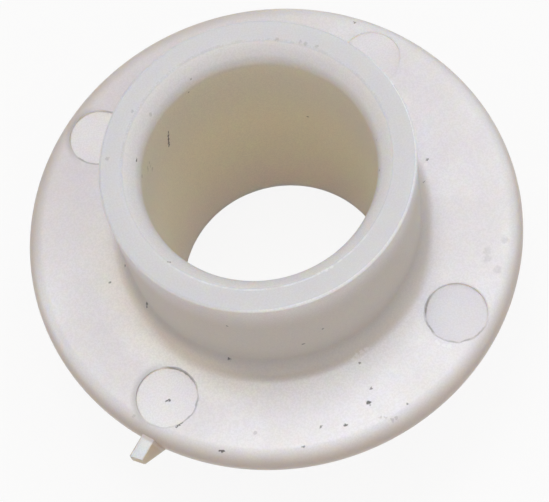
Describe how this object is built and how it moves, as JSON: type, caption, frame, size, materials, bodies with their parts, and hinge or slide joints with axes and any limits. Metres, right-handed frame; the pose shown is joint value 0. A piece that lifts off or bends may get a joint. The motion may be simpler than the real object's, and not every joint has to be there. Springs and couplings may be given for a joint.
{
  "type": "flanged bushing",
  "caption": "Moulded nylon bushing: a straight sleeve with a round collar at mid-length, chamfered bore mouths, ejector-pin marks and an edge-gate stub.",
  "frame": {"origin": "centre of the lower end face, on the bore axis", "axes": "+Z along the bore, towards the end face that stands over the collar's marked side; +X and +Y lie midway between neighbouring ejector marks"},
  "size_m": [0.0427, 0.0426, 0.028],
  "materials": {
    "nylon": "satin off-white nylon, slightly translucent"
  },
  "bodies": {
    "root": {"bushing": "nylon"}
  },
  "joints": []
}
